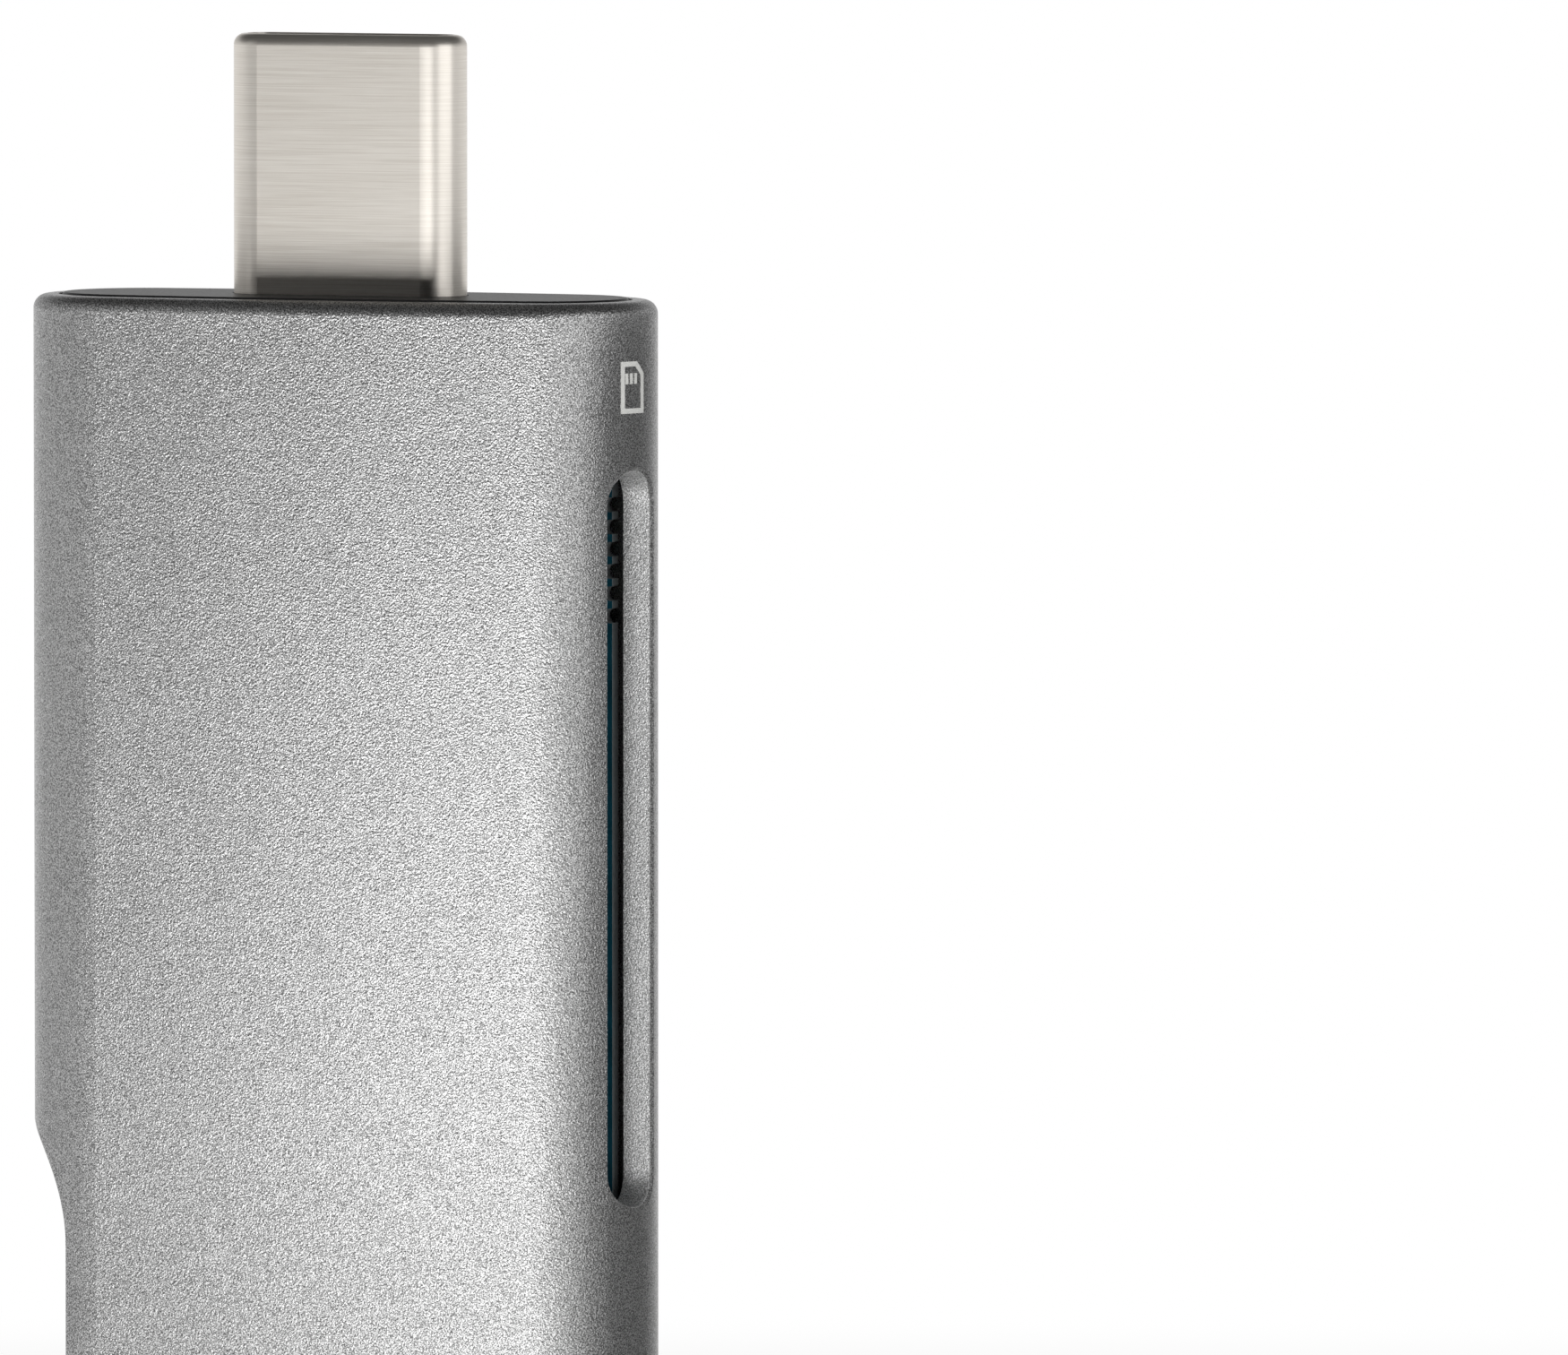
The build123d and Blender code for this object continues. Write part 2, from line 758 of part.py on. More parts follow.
with BuildPart() as voltage_regulator:
    with BuildSketch(front_facing(board_back + chip_lift)):
        with Locations((regulator_x, regulator_center)):
            Rectangle(regulator_width, regulator_length)
    extrude(amount=-regulator_height)

with BuildPart() as regulator_leads:
    with BuildSketch(*[Plane.XY.offset(z) for z in regulator_levels]):
        with Locations((regulator_x, 0)):
            add(bent_strip(regulator_route, lead_sheet))
    extrude(amount=regulator_lead_width / 2, both=True)
    with BuildSketch(Plane.XY.offset(regulator_levels[0]), Plane.XY.offset(regulator_levels[-1])):
        with Locations((regulator_x, 0)):
            add(bent_strip([(-x, y) for x, y in regulator_route], lead_sheet))
    extrude(amount=regulator_lead_width / 2, both=True)

# Crystal
crystal_center = (-crystal_width / 2, upper_row + crystal_length / 2)

with BuildPart() as crystal_base:
    with BuildSketch(front_facing(board_back)):
        with Locations(crystal_center):
            Rectangle(crystal_width, crystal_length)
    extrude(amount=-crystal_height)

with BuildPart() as crystal_lid:
    with BuildSketch(front_facing(board_back + crystal_height)):
        with Locations(crystal_center):
            Rectangle(crystal_width - 2 * crystal_lid_inset, crystal_length - 2 * crystal_lid_inset)
    extrude(amount=-crystal_lid_height)

# Capacitors stand beside the chip, resistors below it
with BuildPart() as capacitors:
    with BuildSketch(front_facing(board_back)):
        with Locations((side_column + chip_part_length / 2, chip_center)):
            with GridLocations(0, chip_part_pitch, 1, chip_part_count):
                Rectangle(chip_part_length, chip_part_width)
    extrude(amount=-capacitor_height)

with BuildPart() as resistors:
    with BuildSketch(front_facing(board_back)):
        with Locations((0, lower_row - chip_part_length / 2)):
            with GridLocations(chip_part_pitch, 0, chip_part_count, 1):
                Rectangle(chip_part_width, chip_part_length)
    extrude(amount=-resistor_height)

pieces = {
    "housing": housing,
    "plug_end_plate": plug_end_plate,
    "base_end_plate": base_end_plate,
    "plug_shell": plug_shell,
    "plug_insulator": plug_insulator,
    "plug_contacts_front": plug_contacts_front,
    "plug_contacts_back": plug_contacts_back,
    "plug_latch_plate": plug_latch_plate,
    "plug_ground_springs": plug_ground_springs,
    "circuit_board": circuit_board,
    "large_socket_frame": large_socket_frame,
    "large_socket_cover": large_socket_cover,
    "large_socket_contacts": large_socket_contacts,
    "large_socket_leaves": large_socket_leaves,
    "small_socket_frame": small_socket_frame,
    "small_socket_cover": small_socket_cover,
    "small_socket_contacts": small_socket_contacts,
    "small_socket_leaf": small_socket_leaf,
    "controller_chip": controller_chip,
    "controller_leads": controller_leads,
    "voltage_regulator": voltage_regulator,
    "regulator_leads": regulator_leads,
    "crystal_base": crystal_base,
    "crystal_lid": crystal_lid,
    "capacitors": capacitors,
    "resistors": resistors,
}

os.makedirs("parts", exist_ok=True)
for name, piece in pieces.items():
    piece.part.label = name
    export_step(piece.part, f"parts/{name}.step")
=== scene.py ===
"""Dresses the card reader for rendering: a finish for every solid, the printed mark and a small studio."""

import logging
import math
from dataclasses import dataclass
from enum import Enum

import bpy
import numpy as np
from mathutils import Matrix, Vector


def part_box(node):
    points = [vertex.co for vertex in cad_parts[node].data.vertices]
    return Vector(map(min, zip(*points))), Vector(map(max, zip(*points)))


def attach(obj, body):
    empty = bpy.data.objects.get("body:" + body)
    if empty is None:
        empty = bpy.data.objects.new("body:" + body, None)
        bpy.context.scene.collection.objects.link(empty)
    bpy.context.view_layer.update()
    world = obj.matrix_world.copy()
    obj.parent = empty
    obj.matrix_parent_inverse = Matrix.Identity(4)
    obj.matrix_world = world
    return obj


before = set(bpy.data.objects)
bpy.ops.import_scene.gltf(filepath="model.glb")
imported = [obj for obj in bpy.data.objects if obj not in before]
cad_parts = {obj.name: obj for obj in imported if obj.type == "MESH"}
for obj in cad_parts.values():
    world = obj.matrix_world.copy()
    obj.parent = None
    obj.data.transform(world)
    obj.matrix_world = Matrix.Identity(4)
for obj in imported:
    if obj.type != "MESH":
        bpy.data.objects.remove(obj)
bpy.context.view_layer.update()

log = logging.getLogger("card_reader")
MM = 0.001
QUARTER_TURN = 0.25


def linear(hex_colour: str) -> tuple[float, float, float, float]:
    """Turns an sRGB hex colour into linear RGBA.

    Args:
        hex_colour: colour such as "#a0b0c0"

    Returns:
        Linear red, green, blue and an alpha of 1.
    """
    channels = [int(hex_colour[i : i + 2], 16) / 255 for i in (1, 3, 5)]
    red, green, blue = (c / 12.92 if c <= 0.04045 else ((c + 0.055) / 1.055) ** 2.4 for c in channels)
    return red, green, blue, 1.0


def per_metre(size_mm: float) -> float:
    """Scale at which a texture's features come out at a size in millimetres."""
    return 1 / (size_mm * MM)


def add_node(
    tree: bpy.types.NodeTree, kind: str, inputs: dict | None = None, **settings: object
) -> bpy.types.Node:
    """Adds one node, sets its properties and fills its inputs.

    Args:
        tree: node tree that takes the node
        kind: Blender's name of the node type
        inputs: for each input, by name or number, a socket to link from or a value
        settings: the node's own properties

    Returns:
        The new node.
    """
    node = tree.nodes.new(kind)
    for name, value in settings.items():
        setattr(node, name, value)
    for key, value in (inputs or {}).items():
        if isinstance(value, bpy.types.NodeSocket):
            tree.links.new(value, node.inputs[key])
        else:
            node.inputs[key].default_value = value
    return node


class Axis(Enum):
    """Direction along the object's own axes."""

    X = 0
    Y = 1
    Z = 2


@dataclass(frozen=True)
class Finish:
    """What every finish has: a name, a colour and a roughness."""

    name: str
    colour: str
    roughness: float

    def start(self, metallic: float = 0.0) -> tuple[bpy.types.Material, bpy.types.NodeTree, bpy.types.Node]:
        """Starts the material with the finish's constants on its shader.

        Args:
            metallic: 1 for bare or plated metal, 0 for anything else

        Returns:
            The material, its node tree and its shader.
        """
        material = bpy.data.materials.new(self.name)
        material.use_nodes = True
        tree = material.node_tree
        shader = tree.nodes["Principled BSDF"]
        shader.inputs["Base Color"].default_value = linear(self.colour)
        shader.inputs["Roughness"].default_value = self.roughness
        shader.inputs["Metallic"].default_value = metallic
        return material, tree, shader

    def make(self) -> bpy.types.Material:
        """Builds the finish's material."""
        raise NotImplementedError


@dataclass(frozen=True)
class BlastedAluminium(Finish):
    """Bead-blasted, clear-anodised aluminium: each bead leaves a dent that catches the light by itself.

    The glints inside a dent are finer than a pixel, so they are painted into the colour coarser, as specks
    of painted glint and painted shade a little smaller than a dent. The slot's milled walls are duller, and
    their
    colour is painted paler: painted light that brightens them inside the slot.
    """

    # shade and colour are the dark and light specks: painted shade and painted glints in the base colour.
    shade: str = "#7e7e7e"
    # The slot walls' two colours are painted paler than the skin's: painted light inside the slot.
    painted_pale_wall: str = "#fcfcfc"
    painted_pale_wall_shade: str = "#b0b0b0"
    bare_roughness: float = 0.6
    dent_mm: float = 0.07
    dent_depth_mm: float = 0.024
    glint_speck_mm: float = 0.042
    glint_shade_range: tuple[float, float] = (0.35, 0.65)
    tone_mm: float = 3.0
    tone_drift: float = 0.02
    pattern_turn: tuple[float, float, float] = (0.6, 0.4, 0.9)
    axis_mm: float = 7.2
    skin_mm: float = 3.7
    rim_mm: float = 55.2

    def inside(self, tree: bpy.types.NodeTree, place: bpy.types.NodeSocket) -> bpy.types.NodeSocket:
        """Finds the walls cut into the right edge: nearer to the edge's axis than the tube's skin is.

        Args:
            tree: node tree that asks
            place: the point in object coordinates

        Returns:
            A socket that is 1 on such a wall below the upper rim, and 0 elsewhere.
        """
        axis = (self.axis_mm * MM, 0.0, 0.0)
        off = add_node(tree, "ShaderNodeVectorMath", {0: place, 1: axis}, operation="SUBTRACT").outputs[0]
        level = add_node(tree, "ShaderNodeVectorMath", {0: off, 1: (1.0, 1.0, 0.0)}, operation="MULTIPLY")
        reach = add_node(tree, "ShaderNodeVectorMath", {0: level.outputs[0]}, operation="LENGTH")
        split = add_node(tree, "ShaderNodeSeparateXYZ", {0: off})
        near = add_node(
            tree, "ShaderNodeMath", {0: reach.outputs["Value"], 1: self.skin_mm * MM}, operation="LESS_THAN"
        )
        right = add_node(tree, "ShaderNodeMath", {0: split.outputs["X"], 1: 0.0}, operation="GREATER_THAN")
        low = add_node(
            tree, "ShaderNodeMath", {0: split.outputs["Z"], 1: self.rim_mm * MM}, operation="LESS_THAN"
        )
        both = add_node(
            tree, "ShaderNodeMath", {0: near.outputs[0], 1: right.outputs[0]}, operation="MULTIPLY"
        )
        cut = add_node(tree, "ShaderNodeMath", {0: both.outputs[0], 1: low.outputs[0]}, operation="MULTIPLY")
        return cut.outputs[0]

    def make(self) -> bpy.types.Material:
        """Builds the material: round dents, crisp specks of painted glint and painted shade, and a slow
        drift of tone.

        The pattern is turned off the object's axes, so that no plane of it lies along a face.

        Returns:
            The material.
        """
        material, tree, shader = self.start(metallic=1.0)
        place = add_node(tree, "ShaderNodeTexCoord").outputs["Object"]
        cut = self.inside(tree, place)
        mapping = add_node(tree, "ShaderNodeMapping", {"Vector": place, "Rotation": self.pattern_turn})
        turned = mapping.outputs["Vector"]
        dents = add_node(
            tree,
            "ShaderNodeTexNoise",
            {"Vector": turned, "Scale": per_metre(self.dent_mm), "Detail": 1.0, "Roughness": 0.6},
        )
        bump = add_node(
            tree,
            "ShaderNodeBump",
            {"Height": dents.outputs["Fac"], "Distance": self.dent_depth_mm * MM, "Strength": 1.0},
        )
        # Specks of painted glint and painted shade, drawn into the colour in place of single glints.
        painted_glints = add_node(
            tree,
            "ShaderNodeTexNoise",
            {"Vector": turned, "Scale": per_metre(self.glint_speck_mm), "Detail": 0.0},
        )
        tone = add_node(
            tree,
            "ShaderNodeTexNoise",
            {"Vector": turned, "Scale": per_metre(self.tone_mm), "Detail": 3.0},
        )
        drift = add_node(
            tree, "ShaderNodeMapRange", {0: tone.outputs["Fac"], 3: -self.tone_drift, 4: self.tone_drift}
        )
        glints_and_drift = add_node(
            tree, "ShaderNodeMath", {0: painted_glints.outputs["Fac"], 1: drift.outputs[0]}, operation="ADD"
        )
        dark, light = self.glint_shade_range
        crisp = add_node(tree, "ShaderNodeMapRange", {0: glints_and_drift.outputs[0], 1: dark, 2: light})
        skin = add_node(
            tree,
            "ShaderNodeMix",
            {0: crisp.outputs[0], 6: linear(self.shade), 7: linear(self.colour)},
            data_type="RGBA",
        )
        # The slot walls take the same specks on paler colours: painted light that brightens them inside the
        # slot.
        wall = add_node(
            tree,
            "ShaderNodeMix",
            {0: crisp.outputs[0], 6: linear(self.painted_pale_wall_shade), 7: linear(self.painted_pale_wall)},
            data_type="RGBA",
        )
        mixed = add_node(
            tree,
            "ShaderNodeMix",
            {0: cut, 6: skin.outputs[2], 7: wall.outputs[2]},
            data_type="RGBA",
        )
        dull = add_node(tree, "ShaderNodeMapRange", {0: cut, 3: self.roughness, 4: self.bare_roughness})
        tree.links.new(mixed.outputs[2], shader.inputs["Base Color"])
        tree.links.new(dull.outputs[0], shader.inputs["Roughness"])
        tree.links.new(bump.outputs["Normal"], shader.inputs["Normal"])
        return material


@dataclass(frozen=True)
class LinedMetal(Finish):
    """Brushed or rolled metal: long fine scratches along one direction stretch the reflections across them.

    Single scratches are too fine to show in a picture of the whole reader, so the lines are drawn coarser.
    """

    shade: str = "#808080"
    line_mm: float = 0.04
    run_mm: float = 4.0
    line_depth_mm: float = 0.002
    across: Axis = Axis.Z
    stretch: float = 0.0
    line_range: tuple[float, float] = (0.3, 0.7)

    def make(self) -> bpy.types.Material:
        """Builds the material: noise that is fine across the lines and slow along them.

        Returns:
            The material.
        """
        material, tree, shader = self.start(metallic=1.0)
        place = add_node(tree, "ShaderNodeTexCoord").outputs["Object"]
        scale = [per_metre(self.run_mm)] * 3
        scale[self.across.value] = per_metre(self.line_mm)
        stretched = add_node(tree, "ShaderNodeMapping", {"Vector": place, "Scale": scale})
        lines = add_node(
            tree,
            "ShaderNodeTexNoise",
            {"Vector": stretched.outputs["Vector"], "Scale": 1.0, "Detail": 3.0, "Roughness": 0.65},
        )
        bump = add_node(
            tree,
            "ShaderNodeBump",
            {"Height": lines.outputs["Fac"], "Distance": self.line_depth_mm * MM, "Strength": 1.0},
        )
        dark, light = self.line_range
        crisp = add_node(tree, "ShaderNodeMapRange", {0: lines.outputs["Fac"], 1: dark, 2: light})
        mixed = add_node(
            tree,
            "ShaderNodeMix",
            {0: crisp.outputs[0], 6: linear(self.shade), 7: linear(self.colour)},
            data_type="RGBA",
        )
        tree.links.new(mixed.outputs[2], shader.inputs["Base Color"])
        tree.links.new(bump.outputs["Normal"], shader.inputs["Normal"])
        if self.stretch:
            # The lines lie round Z. The highlight spreads across them, a quarter turn from their direction.
            around = add_node(tree, "ShaderNodeTangent", direction_type="RADIAL", axis="Z")
            shader.inputs["Anisotropic"].default_value = self.stretch
            shader.inputs["Anisotropic Rotation"].default_value = QUARTER_TURN
            tree.links.new(around.outputs[0], shader.inputs["Tangent"])
        return material


@dataclass(frozen=True)
class MouldedResin(Finish):
    """Moulded plastic or epoxy: the mould's fine spark-eroded texture gives a satin skin of small grains."""

    shade: str = "#101010"
    grain_mm: float = 0.1
    grain_depth_mm: float = 0.004
    roughness_swing: float = 0.08

    def make(self) -> bpy.types.Material:
        """Builds the material: grain in the relief, the colour and the roughness.

        Returns:
            The material.
        """
        material, tree, shader = self.start()
        place = add_node(tree, "ShaderNodeTexCoord").outputs["Object"]
        grain = add_node(
            tree,
            "ShaderNodeTexNoise",
            {"Vector": place, "Scale": per_metre(self.grain_mm), "Detail": 2.0},
        )
        bump = add_node(
            tree,
            "ShaderNodeBump",
            {"Height": grain.outputs["Fac"], "Distance": self.grain_depth_mm * MM, "Strength": 1.0},
        )
        mixed = add_node(
            tree,
            "ShaderNodeMix",
            {0: grain.outputs["Fac"], 6: linear(self.shade), 7: linear(self.colour)},
            data_type="RGBA",
        )
        smooth, coarse = self.roughness - self.roughness_swing, self.roughness + self.roughness_swing
        rough = add_node(tree, "ShaderNodeMapRange", {0: grain.outputs["Fac"], 3: smooth, 4: coarse})
        tree.links.new(mixed.outputs[2], shader.inputs["Base Color"])
        tree.links.new(rough.outputs[0], shader.inputs["Roughness"])
        tree.links.new(bump.outputs["Normal"], shader.inputs["Normal"])
        return material


@dataclass(frozen=True)
class BoardLaminate(Finish):
    """Glass-fibre laminate: glossy solder mask on its two faces, bare pale fibre on its sawn edges."""

    mask_shade: str = "#05303d"
    edge: str = "#969d9f"
    edge_shade: str = "#747a7c"
    edge_roughness: float = 0.7
    fibre_mm: float = 0.09
    trace_mm: float = 1.2

    def make(self) -> bpy.types.Material:
        """Builds the material: mask where the surface faces along Y, layered fibre elsewhere.

        Returns:
            The material.
        """
        material, tree, shader = self.start()
        where = add_node(tree, "ShaderNodeTexCoord")
        traces = add_node(
            tree,
            "ShaderNodeTexVoronoi",
            {"Vector": where.outputs["Object"], "Scale": per_metre(self.trace_mm)},
            distance="MANHATTAN",
        )
        fibre = add_node(
            tree,
            "ShaderNodeTexNoise",
            {"Vector": where.outputs["Object"], "Scale": per_metre(self.fibre_mm), "Detail": 2.0},
        )
        mask = add_node(
            tree,
            "ShaderNodeMix",
            {0: traces.outputs["Distance"], 6: linear(self.mask_shade), 7: linear(self.colour)},
            data_type="RGBA",
        )
        edge = add_node(
            tree,
            "ShaderNodeMix",
            {0: fibre.outputs["Fac"], 6: linear(self.edge_shade), 7: linear(self.edge)},
            data_type="RGBA",
        )
        facing = add_node(tree, "ShaderNodeSeparateXYZ", {0: where.outputs["Normal"]})
        flat = add_node(tree, "ShaderNodeMath", {0: facing.outputs["Y"]}, operation="ABSOLUTE")
        mixed = add_node(
            tree,
            "ShaderNodeMix",
            {0: flat.outputs[0], 6: edge.outputs[2], 7: mask.outputs[2]},
            data_type="RGBA",
        )
        rough = add_node(
            tree,
            "ShaderNodeMapRange",
            {0: flat.outputs[0], 3: self.edge_roughness, 4: self.roughness},
        )
        tree.links.new(mixed.outputs[2], shader.inputs["Base Color"])
        tree.links.new(rough.outputs[0], shader.inputs["Roughness"])
        return material


@dataclass(frozen=True)
class FiredCeramic(Finish):
    """Fired ceramic chip part: dull mottled body between two tinned ends."""

    shade: str = "#7d5f45"
    tin: str = "#b9bab8"
    mottle_mm: float = 0.12
    ends_low: float = 0.0
    ends_high: float = 0.0
    end_mm: float = 0.3
    along: Axis = Axis.X

    def make(self) -> bpy.types.Material:
        """Builds the material: tin within end_mm of either end, ceramic between.

        Returns:
            The material.
        """
        material, tree, shader = self.start()
        place = add_node(tree, "ShaderNodeTexCoord").outputs["Object"]
        mottle = add_node(
            tree,
            "ShaderNodeTexNoise",
            {"Vector": place, "Scale": per_metre(self.mottle_mm), "Detail": 2.0},
        )
        body = add_node(
            tree,
            "ShaderNodeMix",
            {0: mottle.outputs["Fac"], 6: linear(self.shade), 7: linear(self.colour)},
            data_type="RGBA",
        )
        split = add_node(tree, "ShaderNodeSeparateXYZ", {0: place})
        middle = (self.ends_low + self.ends_high) / 2
        reach = (self.ends_high - self.ends_low) / 2 - self.end_mm * MM
        off = add_node(
            tree,
            "ShaderNodeMath",
            {0: split.outputs[self.along.value], 1: middle},
            operation="SUBTRACT",
        )
        away = add_node(tree, "ShaderNodeMath", {0: off.outputs[0]}, operation="ABSOLUTE")
        end = add_node(tree, "ShaderNodeMath", {0: away.outputs[0], 1: reach}, operation="GREATER_THAN")
        mixed = add_node(
            tree,
            "ShaderNodeMix",
            {0: end.outputs[0], 6: body.outputs[2], 7: linear(self.tin)},
            data_type="RGBA",
        )
        tree.links.new(mixed.outputs[2], shader.inputs["Base Color"])
        tree.links.new(end.outputs[0], shader.inputs["Metallic"])
        return material


@dataclass(frozen=True)
class PrintedInk(Finish):
    """Pad-printed ink: an even, dull film with a faint mottle where it lies over the blasted metal."""

    shade: str = "#c9c9c6"
    mottle_mm: float = 0.06

    def make(self) -> bpy.types.Material:
        """Builds the material: two whites mixed by a fine mottle.

        Returns:
            The material.
        """
        material, tree, shader = self.start()
        place = add_node(tree, "ShaderNodeTexCoord").outputs["Object"]
        mottle = add_node(
            tree,
            "ShaderNodeTexNoise",
            {"Vector": place, "Scale": per_metre(self.mottle_mm), "Detail": 1.0},
        )
        mixed = add_node(
            tree,
            "ShaderNodeMix",
            {0: mottle.outputs["Fac"], 6: linear(self.shade), 7: linear(self.colour)},
            data_type="RGBA",
        )
        tree.links.new(mixed.outputs[2], shader.inputs["Base Color"])
        return material


def dress(material: bpy.types.Material, *nodes: str) -> None:
    """Gives solids of the frame a material.

    Args:
        material: finish to put on
        nodes: names of the solids
    """
    for name in nodes:
        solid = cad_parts[name]
        if solid.material_slots:
            for slot in solid.material_slots:
                slot.material = material
        else:
            solid.data.materials.append(material)
        log.info("%s: %s", name, material.name)


def sweep(rings: np.ndarray, closed: bool) -> tuple[np.ndarray, list[list[int]]]:
    """Joins rings of points into a closed skin.

    Ring i's point j is joined to the next point of its ring and to the same point of the next ring.
    A closed sweep joins its last ring to its first, and an open one gets a face over each end.

    Args:
        rings: points, as rings by points by xyz
        closed: whether the last ring meets the first

    Returns:
        The points as one list, and the faces as lists of point numbers.
    """
    count, around = rings.shape[:2]
    numbers = np.arange(count * around).reshape(count, around)
    spans = count if closed else count - 1
    here = numbers[:spans]
    after = np.roll(numbers, -1, axis=0)[:spans]
    quads = np.stack([here, np.roll(here, -1, axis=1), np.roll(after, -1, axis=1), after], axis=-1)
    faces = quads.reshape(-1, 4).tolist()
    if not closed:
        faces += [numbers[0][::-1].tolist(), numbers[-1].tolist()]
    return rings.reshape(-1, 3), faces


@dataclass
class CardMark:
    """Printed outline of a memory card above the large slot, bent round the housing's edge. Sizes in mm."""

    axis_x: float = 7.2
    radius: float = 3.8
    turn_degrees: float = 71.0
    height: float = 53.15
    width: float = 1.2
    length: float = 1.75
    cut: float = 0.4
    stroke: float = 0.17
    film: float = 0.012
    sunk: float = 0.02
    steps: int = 12
    pad_count: int = 3
    pad_width: float = 0.13
    pad_length: float = 0.36
    pad_inset: float = 0.4
    ink: PrintedInk = PrintedInk("printed_ink", "#e6e6e3", 0.5)

    def bend(self, flat: np.ndarray) -> np.ndarray:
        """Lays flat points on the round edge: across becomes an angle round the axis, lift a larger radius.

        Args:
            flat: points as across, up and lift, in mm from the mark's middle

        Returns:
            The points in metres.
        """
        angle = math.radians(self.turn_degrees) + flat[..., 0] / self.radius
        reach = self.radius + flat[..., 2]
        x = self.axis_x + reach * np.sin(angle)
        y = -reach * np.cos(angle)
        z = self.height + flat[..., 1]
        return np.stack([x, y, z], axis=-1) * MM

    def outline(self, inset: float) -> np.ndarray:
        """Points along a card outline with one cut corner, each side divided into equal steps.

        Args:
            inset: distance inside the card's edge

        Returns:
            Points as across and up.
        """
        half, tall = self.width / 2 - inset, self.length / 2 - inset
        cut = self.cut - inset * (2 - math.sqrt(2))
        corners = np.array(
            [(-half, -tall), (half, -tall), (half, tall - cut), (half - cut, tall), (-half, tall)]
        )
        ends = np.roll(corners, -1, axis=0)
        share = np.linspace(0, 1, self.steps, endpoint=False)[None, :, None]
        return (corners[:, None] * (1 - share) + ends[:, None] * share).reshape(-1, 2)

    def frame_rings(self) -> np.ndarray:
        """Rings of the outline's stroke: its outer and its inner edge, each below and above the metal.

        Returns:
            Rings of four corners, one ring for each point of the outline.
        """
        outer, inner = self.outline(0.0), self.outline(self.stroke)
        low = np.full((len(outer), 1), -self.sunk)
        high = np.full((len(outer), 1), self.film)
        edges = [
            np.hstack([outer, low]),
            np.hstack([outer, high]),
            np.hstack([inner, high]),
            np.hstack([inner, low]),
        ]
        return np.stack(edges, axis=1)

    def pad_rings(self, middle: float) -> np.ndarray:
        """Rings of one contact pad, a short upright bar.

        Args:
            middle: the pad's place across the card

        Returns:
            Rings of four corners, from the pad's lower to its upper end.
        """
        top = self.length / 2 - self.pad_inset
        up = np.linspace(top - self.pad_length, top, self.steps)
        half = self.pad_width / 2
        section = np.array(
            [(-half, -self.sunk), (half, -self.sunk), (half, self.film), (-half, self.film)]
        )
        rings = np.empty((self.steps, 4, 3))
        rings[..., 0] = middle + section[:, 0]
        rings[..., 1] = up[:, None]
        rings[..., 2] = section[:, 1]
        return rings

    def build(self) -> bpy.types.Object:
        """Builds the mark as one mesh of the outline and its contact pads.

        Returns:
            The mark, riding on the reader.
        """
        skins = [sweep(self.bend(self.frame_rings()), closed=True)]
        room = self.width - 2 * self.stroke - self.cut
        # The pads stand a quarter of the cut away from the cut corner.
        shift = self.cut / 4
        for middle in np.linspace(-room / 2, room / 2, self.pad_count) - shift:
            skins.append(sweep(self.bend(self.pad_rings(middle)), closed=False))
        points: list[list[float]] = []
        faces: list[list[int]] = []
        for skin, sides in skins:
            faces += (np.array(sides) + len(points)).tolist()
            points += skin.tolist()
        mesh = bpy.data.meshes.new("card_mark")
        mesh.from_pydata(points, [], faces)
        mark = bpy.data.objects.new("card_mark", mesh)
        bpy.context.scene.collection.objects.link(mark)
        mesh.materials.append(self.ink.make())
        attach(mark, "root")
        log.info("card_mark: %d faces", len(faces))
        return mark


@dataclass
class Shell:
    """Outer skin: the housing, its two end plates and the printed mark."""

    metal: BlastedAluminium = BlastedAluminium("bead_blasted_aluminium", "#dfdfdf", 0.355)
    plastic: MouldedResin = MouldedResin("moulded_black_plastic", "#1b1b1c", 0.42, "#0e0e0f")

    def build(self) -> None:
        """Dresses the skin and prints the mark."""
        dress(self.metal.make(), "housing")
        dress(self.plastic.make(), "plug_end_plate", "base_end_plate")
        CardMark().build()


@dataclass
class Plug:
    """Plug: brushed shell, moulded insulator, gilt contacts and steel latch."""

    shell: LinedMetal = LinedMetal("brushed_nickel", "#fffaf2", 0.376, "#e6dfd5", stretch=0.56)
    insulator: MouldedResin = MouldedResin("moulded_insulator", "#161617", 0.4, "#0b0b0c")
    contacts: LinedMetal = LinedMetal("gold_plate", "#f0c56a", 0.2, "#d9a945", 0.03, 1.5, 0.001)
    latch: LinedMetal = LinedMetal("stamped_steel", "#b3b2af", 0.3, "#94938f", 0.05, 2.0, 0.001)

    def build(self) -> None:
        """Dresses the plug's pieces."""
        dress(self.shell.make(), "plug_shell")
        dress(self.insulator.make(), "plug_insulator")
        dress(self.contacts.make(), "plug_contacts_front", "plug_contacts_back")
        dress(self.latch.make(), "plug_latch_plate", "plug_ground_springs")


@dataclass
class CardSockets:
    """The two card sockets: moulded frames, rolled steel covers and gilt springs."""

    frames: MouldedResin = MouldedResin("moulded_socket", "#131314", 0.45, "#09090a")
    covers: LinedMetal = LinedMetal("rolled_steel", "#b9b9b7", 0.28, "#9a9a98", 0.05, 3.0, 0.001)
    springs: LinedMetal = LinedMetal("gold_flash", "#eec268", 0.22, "#d6a646", 0.03, 1.5, 0.001)

    def build(self) -> None:
        """Dresses both sockets' pieces."""
        dress(self.frames.make(), "large_socket_frame", "small_socket_frame")
        dress(self.covers.make(), "large_socket_cover", "small_socket_cover")
        dress(
            self.springs.make(),
            "large_socket_contacts",
            "large_socket_leaves",
            "small_socket_contacts",
            "small_socket_leaf",
        )


